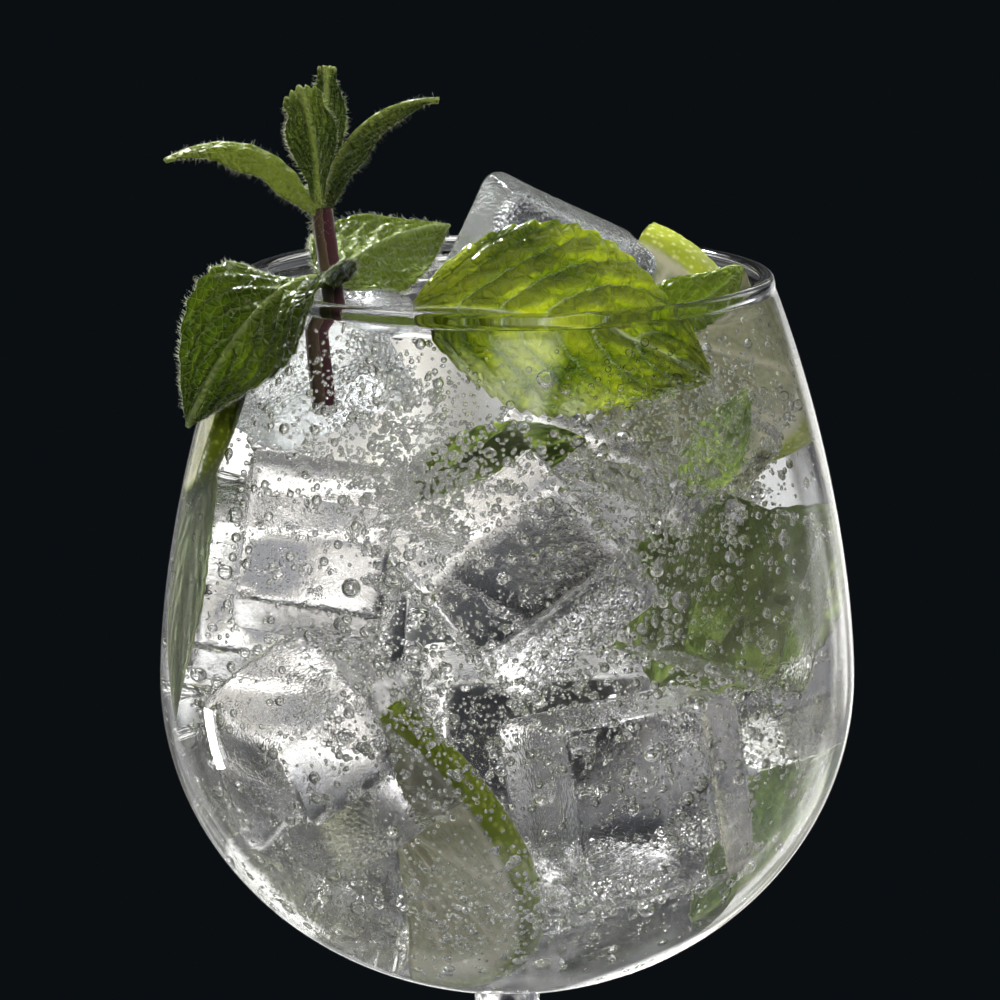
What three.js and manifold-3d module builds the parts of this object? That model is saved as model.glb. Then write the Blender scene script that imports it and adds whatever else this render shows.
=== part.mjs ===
// A gin fizz in a stemmed balloon glass: iced soda with a mint sprig, two loose mint leaves,
// two ice cubes that reach out of the drink and half a slice of lime. Millimetres, +Z up.
// The origin is on the axis of the glass, on the surface that the foot stands on.
import * as THREE from "three";
import { RoundedBoxGeometry } from "three/addons/geometries/RoundedBoxGeometry.js";
import { mergeVertices } from "three/addons/utils/BufferGeometryUtils.js";
import Module from "manifold-3d";

// Glass
const BOWL_BOTTOM_Z = 82;
const BOWL_RADIUS = 53;
const BOWL_BELLY = 48.6; // height of the widest ring above the bottom of the bowl
const BOWL_HEIGHT = 110.6;
const SHOULDER_REACH = 110.34; // height over which the shoulder would close on the axis
const SHOULDER_POWER = 1.66;
const BOTTOM_THICKNESS = 4;
const WALL = 1.6;
const LIP_RADIUS = 0.75;
const LIP_ANGLES = [50, 90, 130]; // where the lip's round edge has its points, in degrees
const SHOULDER_STEPS = 7;
const BELLY_STEPS = 10;
const FOOT_RADIUS = 40;
const FOOT_EDGE = 1.8;
const FOOT_FLARE = 2.2; // height in which the foot's top falls to a third of its reach
const FOOT_RISE = 20; // height at which the foot has become the stem
const FOOT_RING = 30; // inner radius of the flat ring that the glass stands on
const FOOT_HOLLOW = 1.4; // depth of the hollow inside that ring
const STEM_RADIUS = 4.2;
const STEM_TOP_RADIUS = 5.1;
const STEM_TOP_Z = 80.8;
const STEM_RINGS = [0.5, 0.8, 1]; // shares of the stem's height that have a ring
const FIRST_ANGLE = 0.17; // radians from the axis at which the stem joins the bowl
const FOOT_STEPS = 7;
const FOOT_BEVEL = 0.7; // width and height of the foot's lower bevel
const GLASS_SIDES = 40;
const HOLLOW_LOW_STEPS = 8;
const HOLLOW_HIGH_STEPS = 6;

// Drink
const DRINK_LEVEL = 188.3;
const GAP = 0.3; // between pieces that touch
const SAME_POINT = 1e-3; // points closer than this are one

// Ice
const TOP_CUBE = { size: 26, at: [4.8, 0.4, 190.2], turn: [0, 26, 8] };
const SIDE_CUBE = { size: 21, at: [-25, 6.4, 177.4], turn: [8, -25, 14] };
const ICE_CORNER = 3;
const ICE_CORNER_STEPS = 2;

// Lime: half of a thick round slice
const LIME_RADIUS = 21.5;
const LIME_BULGE = 1.1; // how far the rind swells past the edges of its cut faces
const LIME_THICKNESS = 7;
const LIME_SIDES = 32;
const LIME_CREST = LIME_BULGE / 3; // how far the middle of the rind swells past the radius
const LIME_AT = [17.5, 19.8, 177.2]; // middle of the whole slice
const LIME_FACE = [-0.4, -0.9, -0.18]; // the way its front face looks
const LIME_CUT = [0.3, 0, 0.95]; // the way the straight cut runs to its upper end

// Mint
const LEAF_THICKNESS = 0.5;
const LEAF_ROWS = 16;
const LEAF_COLUMNS = 3; // on each side of the midrib
const PETIOLE_HALF_WIDTH = 0.8;
const LEAF_TIP_HALF_WIDTH = 0.35; // of a leaf that doesn't give its own
const TOOTH_DEPTH = 0.07;
const BLADE_POWER = 0.85; // below 1 a blade is fuller than half a sine wave
const STEM_HALF_WIDTH = 1.55;
const STEM_CORNER = 0.5;
const STEM_STEPS = 10;
const STEM_ROUTE = [
  [-23.2, -15, 173],
  [-24.6, -15.2, 183],
  [-25.8, -15.2, 192],
  [-27.4, -15, 204.6],
];

// Each leaf: its midrib as a cubic curve, the direction of its blade, its full width, a power that
// sets where it is widest, how far its two halves fold from flat, the height and number of the
// waves along its margins, and half the width of its tip where that is blunt.
const TOP_LEAVES = [
  {
    midrib: [[-27.6, -15, 203.4], [-31, -16.5, 212.5], [-39, -17, 217], [-50.2, -15.5, 211.8]],
    side: [0.25, -0.95, -0.35], width: 10.5, belly: 0.65, fold: -34, wave: 0.4, waves: 2.5, tip: 0.8,
  },
  {
    midrib: [[-27.7, -15.6, 203.4], [-28, -18, 209.5], [-28, -18, 216], [-30.2, -16, 221.4]],
    side: [0.97, 0.1, 0.2], width: 8.2, belly: 1.8, fold: 20, wave: 0.4, waves: 2, tip: 3.2,
  },
  {
    midrib: [[-27.3, -14.4, 203.4], [-26.8, -12, 210], [-26.8, -11, 217], [-26.6, -12.5, 224.6]],
    side: [0.98, -0.1, 0], width: 6.2, belly: 1.7, fold: 18, wave: 0.4, waves: 3, tip: 1.5,
  },
  {
    midrib: [[-27, -15, 203.4], [-27, -16.5, 212.5], [-20.5, -16.5, 220.5], [-10.3, -15, 220.6]],
    side: [0.3, -0.93, -0.3], width: 8, belly: 0.8, fold: 30, wave: 0.3, waves: 2.5, tip: 0.8,
  },
];
const LOW_LEAVES = [
  {
    midrib: [[-25.9, -16, 192.8], [-28, -28, 198.6], [-38, -32, 194.6], [-46.8, -25, 173.6]],
    side: [-0.85, 0.35, -0.2], width: 23, belly: 1, fold: -10, wave: 0.9, waves: 2,
  },
  {
    midrib: [[-25.6, -14, 192.8], [-24.6, -6, 195], [-19, 8, 197.6], [-9, 21.5, 196.6]],
    side: [0.3, -0.84, -0.42], width: 17, belly: 1.05, fold: 10, wave: 0.7, waves: 2.5,
  },
];
const FRONT_LEAF = {
  midrib: [[-13.6, -32.2, 192.4], [0, -35.4, 193.4], [17, -35.6, 190.6], [28.6, -27.6, 180.6]],
  side: [0.06, 0.2, 0.97], width: 30.5, belly: 0.9, fold: -17, wave: 0.8, waves: 2.5,
};
const RIGHT_LEAF = {
  midrib: [[15, -22.6, 189], [22, -24.4, 188.6], [29.5, -20.5, 190.8], [34.8, -12, 195.2]],
  side: [0.1, 0.72, 0.7], width: 10, belly: 0.9, fold: 12, wave: 0.4, waves: 2,
};

const MATERIALS = {
  glass: { color: 0xeef4f4, roughness: 0.03, metalness: 0, transparent: true, opacity: 0.35 },
  drink: { color: 0xe4eae6, roughness: 0.05, metalness: 0, transparent: true, opacity: 0.5 },
  ice: { color: 0xdfe6ee, roughness: 0.12, metalness: 0, transparent: true, opacity: 0.7 },
  mint: { color: 0x4f7d1d, roughness: 0.5, metalness: 0 },
  lime: { color: 0x9dbb2c, roughness: 0.4, metalness: 0 },
};

const wasm = await Module();
wasm.setup();

const vector = (xyz) => new THREE.Vector3(...xyz);
const radians = THREE.MathUtils.degToRad;

// A geometry as a solid that can be joined and cut.
function solidOf(geometry) {
  const bare = geometry.clone();
  bare.deleteAttribute("normal");
  bare.deleteAttribute("uv");
  const merged = mergeVertices(bare, SAME_POINT);
  return new wasm.Manifold(
    new wasm.Mesh({
      numProp: 3,
      vertProperties: new Float32Array(merged.getAttribute("position").array),
      triVerts: new Uint32Array(merged.index.array),
    }),
  );
}

function geometryOf(solid) {
  const { vertProperties, triVerts } = solid.getMesh();
  return new THREE.BufferGeometry()
    .setAttribute("position", new THREE.BufferAttribute(vertProperties, 3))
    .setIndex(new THREE.BufferAttribute(triVerts, 1));
}

function meshOf(name, geometry, finish) {
  geometry.computeVertexNormals();
  const mesh = new THREE.Mesh(geometry, new THREE.MeshStandardMaterial(MATERIALS[finish]));
  mesh.name = name;
  return mesh;
}

// Outer radius of the bowl: half an ellipse up to the belly, then a shoulder that draws in.
function bowlRadius(z) {
  const up = z - BOWL_BOTTOM_Z - BOWL_BELLY;
  if (up <= 0) return BOWL_RADIUS * Math.sqrt(Math.max(0, 1 - (up / BOWL_BELLY) ** 2));
  return BOWL_RADIUS * (1 - (up / SHOULDER_REACH) ** SHOULDER_POWER) ** (1 / SHOULDER_POWER);
}

// Inner radius, with the glass thicker towards the bottom.
function hollowRadius(z) {
  const up = z - BOWL_BOTTOM_Z - BOWL_BELLY;
  const depth = BOWL_BELLY - BOTTOM_THICKNESS;
  if (up <= 0) return (BOWL_RADIUS - WALL) * Math.sqrt(Math.max(0, 1 - (up / depth) ** 2));
  return bowlRadius(z) - WALL;
}

// Points of the hollow's profile from the axis up to z = top, `inset` inside the wall.
function hollowProfile(top, inset) {
  const bellyZ = BOWL_BOTTOM_Z + BOWL_BELLY;
  const depth = BOWL_BELLY - BOTTOM_THICKNESS - inset;
  const points = [new THREE.Vector2(0, bellyZ - depth)];
  for (let i = 1; i <= HOLLOW_LOW_STEPS; i++) {
    const angle = (i / HOLLOW_LOW_STEPS) * (Math.PI / 2);
    const radius = (BOWL_RADIUS - WALL - inset) * Math.sin(angle);
    points.push(new THREE.Vector2(radius, bellyZ - depth * Math.cos(angle)));
  }
  for (let i = 1; i <= HOLLOW_HIGH_STEPS; i++) {
    const z = THREE.MathUtils.lerp(bellyZ, top, i / HOLLOW_HIGH_STEPS);
    points.push(new THREE.Vector2(hollowRadius(z) - inset, z));
  }
  return points;
}

// The foot from the axis outward: a parabolic hollow, a flat ring, a bevelled edge and a flare.
function footProfile() {
  const points = [
    new THREE.Vector2(0, FOOT_HOLLOW),
    new THREE.Vector2(FOOT_RING / 2, FOOT_HOLLOW * (1 - 1 / 4)),
    new THREE.Vector2(FOOT_RING, 0),
    new THREE.Vector2(FOOT_RADIUS - FOOT_BEVEL, 0),
    new THREE.Vector2(FOOT_RADIUS, FOOT_BEVEL),
    new THREE.Vector2(FOOT_RADIUS, FOOT_EDGE),
  ];
  for (let i = 1; i <= FOOT_STEPS; i++) {
    const rise = (FOOT_RISE - FOOT_EDGE) * (i / FOOT_STEPS) ** 2;
    const reach = (FOOT_RADIUS - STEM_RADIUS) * Math.exp(-rise / FOOT_FLARE);
    points.push(new THREE.Vector2(STEM_RADIUS + reach, FOOT_EDGE + rise));
  }
  return points;
}

function glassGeometry() {
  const bellyZ = BOWL_BOTTOM_Z + BOWL_BELLY;
  const lipZ = BOWL_BOTTOM_Z + BOWL_HEIGHT - LIP_RADIUS;
  const profile = footProfile();
  for (const share of STEM_RINGS) {
    const radius = THREE.MathUtils.lerp(STEM_RADIUS, STEM_TOP_RADIUS, share ** 3);
    profile.push(new THREE.Vector2(radius, THREE.MathUtils.lerp(FOOT_RISE, STEM_TOP_Z, share)));
  }
  for (let i = 0; i <= BELLY_STEPS; i++) {
    const angle = THREE.MathUtils.lerp(FIRST_ANGLE, Math.PI / 2, i / BELLY_STEPS);
    const radius = BOWL_RADIUS * Math.sin(angle);
    profile.push(new THREE.Vector2(radius, bellyZ - BOWL_BELLY * Math.cos(angle)));
  }
  for (let i = 1; i <= SHOULDER_STEPS; i++) {
    const z = THREE.MathUtils.lerp(bellyZ, lipZ, i / SHOULDER_STEPS);
    profile.push(new THREE.Vector2(bowlRadius(z), z));
  }
  const lipCentre = (bowlRadius(lipZ) + hollowRadius(lipZ)) / 2;
  for (const angle of LIP_ANGLES.map(radians)) {
    const along = LIP_RADIUS * Math.cos(angle);
    profile.push(new THREE.Vector2(lipCentre + along, lipZ + LIP_RADIUS * Math.sin(angle)));
  }
  profile.push(...hollowProfile(lipZ, 0).reverse());
  return new THREE.LatheGeometry(profile, GLASS_SIDES).rotateX(Math.PI / 2);
}

function iceCube({ size, at, turn }, grow = 0) {
  const full = size + 2 * grow;
  const cube = new RoundedBoxGeometry(full, full, full, ICE_CORNER_STEPS, ICE_CORNER + grow);
  const turned = new THREE.Euler(...turn.map(radians), "ZYX");
  return solidOf(cube)
    .transform(new THREE.Matrix4().makeRotationFromEuler(turned).setPosition(...at).elements);
}

// A slice is a disc with a swelling rind; a straight cut along its diameter leaves half of it.
function limeHalf(grow = 0) {
  const half = LIME_THICKNESS / 2 + grow;
  const radius = LIME_RADIUS + grow;
  const profile = [
    [0, -half], [radius - LIME_BULGE, -half], [radius, -half / 2], [radius + LIME_CREST, 0],
    [radius, half / 2], [radius - LIME_BULGE, half], [0, half],
  ];
  const whole = new THREE.LatheGeometry(profile.map((point) => new THREE.Vector2(...point)), LIME_SIDES);
  const size = 2 * (LIME_RADIUS + LIME_THICKNESS);
  const keep = new THREE.BoxGeometry(size, size, size).translate(size / 2 - grow, 0, 0);
  const face = vector(LIME_FACE).normalize();
  const up = vector(LIME_CUT);
  up.addScaledVector(face, -up.dot(face)).normalize();
  const right = new THREE.Vector3().crossVectors(up, face);
  const place = new THREE.Matrix4().makeBasis(right, face, up.negate()).setPosition(...LIME_AT);
  return solidOf(whole).intersect(solidOf(keep)).transform(place.elements);
}

// Half-width of a mint leaf at share t of its length, 1 at its widest, with a toothed margin.
function leafOutline(t, belly, row) {
  const blade = Math.sin(Math.PI * t ** belly) ** BLADE_POWER;
  return blade * (row % 2 ? 1 : 1 - TOOTH_DEPTH);
}

function leafPoint(leaf, row, column, grow) {
  const { midrib, side, width, belly, fold, wave, waves, tip = LEAF_TIP_HALF_WIDTH } = leaf;
  const curve = new THREE.CubicBezierCurve3(...midrib.map(vector));
  const t = row / LEAF_ROWS;
  const s = column / LEAF_COLUMNS;
  const tangent = curve.getTangent(t);
  const spread = vector(side);
  spread.addScaledVector(tangent, -spread.dot(tangent)).normalize();
  const up = new THREE.Vector3().crossVectors(tangent, spread);
  const least = THREE.MathUtils.lerp(PETIOLE_HALF_WIDTH, tip, t);
  const half = Math.max(least, (width / 2) * leafOutline(t, belly, row)) + grow;
  const ripple = wave * Math.sin(2 * Math.PI * waves * t + (s > 0 ? 1 : 0)) * s * s * Math.sin(Math.PI * t);
  const end = row === 0 ? -grow : row === LEAF_ROWS ? grow : 0;
  return curve.getPoint(t)
    .addScaledVector(tangent, end)
    .addScaledVector(spread, s * half * Math.cos(radians(fold)))
    .addScaledVector(up, Math.abs(s) * half * Math.sin(radians(fold)) + ripple);
}

// A leaf is a thin wavy blade whose two faces are split into triangles alike.
function leafSolid(leaf, grow = 0) {
  const grid = [];
  for (let i = 0; i <= LEAF_ROWS; i++) {
    const line = [];
    for (let j = -LEAF_COLUMNS; j <= LEAF_COLUMNS; j++) line.push(leafPoint(leaf, i, j, grow));
    grid.push(line);
  }
  const across = grid[0].length;
  const thickness = LEAF_THICKNESS + 2 * grow;
  const rings = grid.map((line, i) => {
    const after = grid[Math.min(i + 1, LEAF_ROWS)];
    const before = grid[Math.max(i - 1, 0)];
    const faces = line.map((point, j) => {
      const along = after[j].clone().sub(before[j]);
      const over = line[Math.min(j + 1, across - 1)].clone().sub(line[Math.max(j - 1, 0)]);
      const normal = new THREE.Vector3().crossVectors(along, over).normalize();
      return [1, -1].map((way) => point.clone().addScaledVector(normal, (way * thickness) / 2));
    });
    return [...faces.map((pair) => pair[1]), ...faces.map((pair) => pair[0]).reverse()];
  });
  return solidOf(bladeGeometry(rings, across));
}

// The blade's rings go over the lower face and back over the upper one; its ends are strips.
function bladeGeometry(rings, across) {
  const size = 2 * across;
  const faces = [];
  for (let i = 0; i + 1 < rings.length; i++) {
    for (let j = 0; j < size; j++) {
      const a = i * size + j;
      const b = i * size + ((j + 1) % size);
      const upper = j >= across;
      if (upper) faces.push(a, b, a + size, b, b + size, a + size);
      else faces.push(a, b, b + size, a, b + size, a + size);
    }
  }
  const last = (rings.length - 1) * size;
  for (let j = 0; j + 1 < across; j++) {
    const k = size - 1 - j;
    faces.push(j, k - 1, j + 1, j, k, k - 1);
    faces.push(last + j, last + j + 1, last + k - 1, last + j, last + k - 1, last + k);
  }
  return new THREE.BufferGeometry()
    .setFromPoints(rings.flat())
    .setIndex(faces);
}

// Mint has a square stem.
function mintStem(grow = 0) {
  const wide = STEM_HALF_WIDTH + grow;
  const narrow = wide - STEM_CORNER;
  const section = new THREE.Shape(
    [[wide, -narrow], [wide, narrow], [narrow, wide], [-narrow, wide],
      [-wide, narrow], [-wide, -narrow], [-narrow, -wide], [narrow, -wide]]
      .map(([x, y]) => new THREE.Vector2(x, y)),
  );
  const route = STEM_ROUTE.map(vector);
  route[0].z -= grow;
  const extrudePath = new THREE.CatmullRomCurve3(route);
  return solidOf(new THREE.ExtrudeGeometry(section, { steps: STEM_STEPS, extrudePath }));
}

function mintSprig(grow = 0) {
  return [...TOP_LEAVES, ...LOW_LEAVES].reduce(
    (sprig, leaf) => sprig.add(leafSolid(leaf, grow)),
    mintStem(grow),
  );
}

// The drink stands at its level, cut round what is sunk in it part of the way.
function drinkSolid() {
  const profile = hollowProfile(DRINK_LEVEL, GAP);
  profile.push(new THREE.Vector2(0, DRINK_LEVEL));
  const full = solidOf(new THREE.LatheGeometry(profile, GLASS_SIDES).rotateX(Math.PI / 2));
  return [
    iceCube(TOP_CUBE, GAP),
    iceCube(SIDE_CUBE, GAP),
    limeHalf(GAP),
    mintStem(GAP),
    leafSolid(FRONT_LEAF, GAP),
    leafSolid(RIGHT_LEAF, GAP),
  ].reduce((drink, sunk) => drink.subtract(sunk), full);
}

const ginFizz = new THREE.Group();
ginFizz.add(
  meshOf("glass", glassGeometry(), "glass"),
  meshOf("drink", geometryOf(drinkSolid()), "drink"),
  meshOf("ice_cube_top", geometryOf(iceCube(TOP_CUBE)), "ice"),
  meshOf("ice_cube_side", geometryOf(iceCube(SIDE_CUBE)), "ice"),
  meshOf("lime_half_slice", geometryOf(limeHalf()), "lime"),
  meshOf("mint_sprig", geometryOf(mintSprig()), "mint"),
  meshOf("mint_leaf_front", geometryOf(leafSolid(FRONT_LEAF)), "mint"),
  meshOf("mint_leaf_right", geometryOf(leafSolid(RIGHT_LEAF)), "mint"),
);

export default ginFizz;
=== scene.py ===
"""Looks of an iced gin fizz in a stemmed balloon glass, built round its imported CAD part.

Sizes are in millimetres in the part's own frame (foot on z = 0, axis of the glass on x = y = 0)
and become metres when a mesh is made. Lights, the camera and texture scales are in metres.
"""

import math

import bmesh  # noqa: E402
import bpy  # noqa: E402
import numpy as np  # noqa: E402
from mathutils import Euler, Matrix, Vector  # noqa: E402


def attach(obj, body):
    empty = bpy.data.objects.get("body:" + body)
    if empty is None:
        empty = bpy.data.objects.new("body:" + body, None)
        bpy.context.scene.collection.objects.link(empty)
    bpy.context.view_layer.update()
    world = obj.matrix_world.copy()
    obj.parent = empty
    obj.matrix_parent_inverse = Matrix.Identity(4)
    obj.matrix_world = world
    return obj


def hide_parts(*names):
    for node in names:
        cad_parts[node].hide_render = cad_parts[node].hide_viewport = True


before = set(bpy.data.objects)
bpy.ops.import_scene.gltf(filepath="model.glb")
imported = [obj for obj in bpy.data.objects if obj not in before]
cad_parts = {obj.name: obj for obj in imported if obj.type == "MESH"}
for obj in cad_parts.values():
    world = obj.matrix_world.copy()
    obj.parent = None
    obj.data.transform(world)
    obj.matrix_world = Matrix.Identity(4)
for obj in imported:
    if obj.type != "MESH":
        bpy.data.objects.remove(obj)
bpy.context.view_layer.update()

MM = 0.001
rng = np.random.default_rng(7)

# Glass
BOWL_BOTTOM_Z = 82.0
BOWL_RADIUS = 53.0
BOWL_BELLY = 48.6
BOWL_HEIGHT = 110.6
SHOULDER_REACH = 110.34
SHOULDER_POWER = 1.66
BOTTOM_THICKNESS = 4.0
WALL = 1.6
LIP_HEIGHT = 0.75
LIP_SWELL = 0.3
LIP_Z = BOWL_BOTTOM_Z + BOWL_HEIGHT - LIP_HEIGHT
FOOT_RADIUS = 40.0
FOOT_EDGE = 1.8
FOOT_FLARE = 2.2
FOOT_RISE = 20.0
FOOT_RING = 30.0
FOOT_HOLLOW = 1.4
STEM_RADIUS = 4.2
STEM_TOP_RADIUS = 5.1
STEM_TOP_Z = 80.8
BELLY_Z = BOWL_BOTTOM_Z + BOWL_BELLY
HOLLOW_DEPTH = BOWL_BELLY - BOTTOM_THICKNESS
GLASS_SIDES = 128

# Drink
DRINK_LEVEL = 188.3
INTO_WALL = 0.5
MENISCUS_RISE = 1.9
MENISCUS_REACH = 1.8

# Ice: size, middle, turn in degrees about x, y and z
TOP_CUBE = (26.0, (4.8, 0.4, 190.2), (0, 26, 8))
SIDE_CUBE = (21.0, (-25.0, 6.4, 177.4), (8, -25, 14))
SUNK_CUBES = (
    (24.0, (-23.5, -20.5, 125.0), (6, -30, 24)),
    (25.0, (16.0, -15.0, 118.0), (-6, -8, 24)),
    (22.0, (-24.5, -17.5, 153.5), (4, 6, -12)),
    (25.0, (1.0, -20.5, 152.0), (10, -38, 10)),
    (24.0, (29.5, -14.0, 146.5), (-8, 24, 30)),
    (24.0, (-22.0, 18.0, 140.0), (2, 3, -4)),
    (26.0, (6.0, 16.0, 150.0), (-14, 30, -10)),
    (24.0, (32.0, 15.0, 132.0), (10, -20, 40)),
    (24.0, (4.0, 18.0, 119.0), (3, -2, 3)),
    (20.0, (-19.0, 19.0, 112.0), (2, 4, -5)),
    (19.0, (21.0, -2.0, 165.5), (6, 38, 12)),
)
ICE_CORNER = 3.0
SUNK_CORNER = 2.2
ICE_SAG = 0.35
ICE_MELT = 0.22

# Lime
LIME_RADIUS = 21.5
LIME_BULGE = 1.1
LIME_THICKNESS = 7.0
LIME_AT = (17.5, 19.8, 177.2)
LIME_FACE = (-0.4, -0.9, -0.18)
LIME_CUT = (0.3, 0.0, 0.95)
PITH_SHARE = 0.865
CORE_SHARE = 0.09
SEGMENTS = 10
MEMBRANE_HALF = 0.55
PULP_SINK = 0.35
# Sunk pieces of lime: radius, thickness, middle, the ways that the face and the cut look
SUNK_LIMES = (
    (21.5, 3.9, (-12.05, -1.9, 115.2), (-0.688, -0.454, -0.566), (-0.25, -0.7, 0.66)),
    (17.5, 5.0, (39.0, -3.0, 177.0), (0.94, 0.02, 0.34), (-0.36, 0.0, 0.9)),
    (17.0, 5.0, (-39.5, -4.0, 174.5), (-0.95, 0.06, 0.33), (0.33, 0.0, 0.95)),
)

# Mint leaves: midrib as a cubic curve, direction of the blade, width, where it is widest,
# fold of its halves in degrees, height and number of the waves along its margins, and where they
# differ from the usual: half width at the tip, tone from dark 0 to light 1, set to how bright
# each leaf looks as lit, so partly painted light and shade, and how pale a margin is, partly the
# leaf's own cream edge and partly painted glints
TOP_LEAVES = (
    dict(midrib=((-27.6, -15, 203.4), (-31, -16.5, 212.5), (-39, -17, 217), (-50.2, -15.5, 211.8)),
         side=(0.25, -0.95, -0.35), width=10.5, belly=0.65, fold=-34, wave=0.4, waves=2.5,
         tip=0.8, tone_and_painted_light=0.75),
    dict(midrib=((-27.7, -15.6, 203.4), (-28, -18, 209.5), (-28, -18, 216), (-30.2, -16, 221.4)),
         side=(0.97, 0.1, 0.2), width=8.2, belly=1.8, fold=20, wave=0.4, waves=2,
         tip=3.2, tone_and_painted_light=0.25),
    dict(midrib=((-27.3, -14.4, 203.4), (-26.8, -12, 210), (-26.8, -11, 217), (-26.6, -12.5, 224.6)),
         side=(0.98, -0.1, 0), width=6.2, belly=1.7, fold=18, wave=0.4, waves=3,
         tip=1.5, tone_and_painted_light=0.15),
    dict(midrib=((-27, -15, 203.4), (-27, -16.5, 212.5), (-20.5, -16.5, 220.5), (-10.3, -15, 220.6)),
         side=(0.3, -0.93, -0.3), width=8, belly=0.8, fold=30, wave=0.3, waves=2.5,
         tip=0.8, tone_and_painted_light=0.3),
)
RIM_LEAF = dict(
    midrib=((-25.9, -16, 192.8), (-28, -28, 198.6), (-38, -32, 194.6), (-46.8, -25, 173.6)),
    side=(-0.85, 0.35, -0.2), width=23, belly=1, fold=-10, wave=0.9, waves=2, tone_and_painted_light=0.3)
BACK_LEAF = dict(
    midrib=((-25.6, -14, 192.8), (-24.6, -6, 195), (-19, 8, 197.6), (-9, 21.5, 196.6)),
    side=(0.3, -0.84, -0.42), width=17, belly=1.05, fold=10, wave=0.7, waves=2.5, tone_and_painted_light=1.0)
FRONT_LEAF = dict(
    midrib=((-13.6, -32.2, 192.4), (0, -35.4, 193.4), (17, -35.6, 190.6), (28.6, -27.6, 180.6)),
    side=(0.06, 0.2, 0.97), width=30.5, belly=0.9, fold=-17, wave=0.8, waves=2.5, pale=0.8)
RIGHT_LEAF = dict(
    midrib=((15, -22.6, 189), (22, -24.4, 188.6), (29.5, -20.5, 190.8), (34.8, -12, 195.2)),
    side=(0.1, 0.72, 0.7), width=10, belly=0.9, fold=12, wave=0.4, waves=2, tone_and_painted_light=0.95)
SUNK_LEAVES = (
    dict(midrib=((-41.5, -13, 170), (-45.5, -14, 158), (-47.8, -14.5, 144), (-47.5, -14, 127)),
         side=(-0.32, 0.95, 0), width=17, belly=0.9, fold=4, wave=0.4, waves=2, tone_and_painted_light=1.1),
    dict(midrib=((16, 9, 128), (24, 7, 138), (35, 7, 146), (42, 9, 152)),
         side=(-0.4, 0.2, 0.9), width=24, belly=0.9, fold=10, wave=0.8, waves=2.5),
    dict(midrib=((20, 5, 103), (28, 4, 107), (36, 4, 114), (41, 7, 121)),
         side=(-0.5, 0.3, 0.8), width=17, belly=0.9, fold=10, wave=0.8, waves=2, tone_and_painted_light=0.1),
    dict(midrib=((-14, -4, 155), (-6, -4, 162), (2, -4, 166), (9, -2, 166)),
         side=(-0.3, 0.3, 0.9), width=11, belly=0.9, fold=10, wave=0.6, waves=2),
    dict(midrib=((23, -21, 162), (26, -22, 166), (30, -22, 172), (33.5, -21, 178)),
         side=(-0.8, -0.05, 0.6), width=9, belly=0.9, fold=10, wave=0.6, waves=2, tone_and_painted_light=0.4),
)
LEAF_THICKNESS = 0.36
LEAF_BASE_HALF = 0.8
LEAF_TIP_HALF = 0.35
LEAF_LENGTH = 40.0
BLADE_POWER = 0.85
VEINS = 7
VEIN_SLANT = 0.42
VEIN_HALF = 0.18
RIB_HALF = 0.32
GROOVE_HALF = 0.5
TEETH = 16
TOOTH_DEPTH = 0.055
TOOTH_BACK = 0.75
STEM_HALF_WIDTH = 1.55
STEM_SIDES = 32
STEM_STEPS = 90
HAIRS = 7000
KNOT_HAIRS = 220
HAIR_HALF = 0.028
HAIR_LENGTHS = (0.45, 1.25)
STEM_ROUTE = (
    (-23.2, -15, 173), (-24.6, -15.2, 183), (-25.8, -15.2, 192), (-27.4, -15, 204.6),
)

# Bubbles: how round they are, then number and radii (least, most, power of the draw) on the wall,
# on each cube and in the crowded patches, where the number is a share of the patch's own
BUBBLES = (
    dict(name="bubbles_large", level=3, wall=(90, (0.9, 1.5, 2.0)), heights=(90, 186), off_wall=0.0,
         ice=(14, (0.8, 1.35, 2.0)), cubes=SUNK_CUBES, on_edges=0.2, foam=None),
    dict(name="bubbles_medium", level=2, wall=(640, (0.42, 0.95, 2.0)), heights=(88, 187), off_wall=0.0,
         ice=(95, (0.4, 0.9, 2.0)), cubes=SUNK_CUBES, on_edges=0.5, foam=(9, (0.4, 0.85, 2.0))),
    dict(name="bubbles_small", level=1, wall=(1100, (0.2, 0.4, 1.0)), heights=(90, 188), off_wall=1.5,
         ice=(145, (0.2, 0.4, 1.0)), cubes=(*SUNK_CUBES, SIDE_CUBE, TOP_CUBE), on_edges=0.7,
         foam=(1, (0.2, 0.4, 1.3))),
)
# Crowded patches: middle and spread in x and z, number of small bubbles
FOAM = (
    ((-13, 168), (9, 5), 900), ((-4, 137), (14, 8), 1300), ((-24, 179), (9, 5), 500),
    ((20, 162), (10, 9), 900), ((4, 106), (14, 5), 700), ((26, 178), (8, 5), 500),
    ((-26, 104), (9, 6), 500), ((30, 128), (9, 9), 400), ((-14, 176), (6, 6), 500),
    ((27, 171), (8, 7), 700),
)
FOAM_DEPTH = 2.5
BUBBLE_LIFT = 0.25

# Camera, in metres and degrees
CAMERA_AT = (-0.0011, -0.750, 0.3076)
CAMERA_PITCH = 11.31
CAMERA_LENS = 181.2
FLOOR_RADIUS = 0.13

# Light: the lamps in the world as ways to look and strengths, what the camera sees behind the
# glass, and the share of light that clear things let into their shadows
WORLD_LAMPS = (((-0.34, 0.60, 0.72), 2.5), ((0.62, 0.62, 0.48), 1.4), ((0.12, -0.78, 0.62), 1.2))
WORLD_STRENGTH = 1.42
BACKDROP = (0.0033, 0.0048, 0.0062)
SHADOW_TINT = (0.93, 0.94, 0.94)


# Meshes

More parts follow.
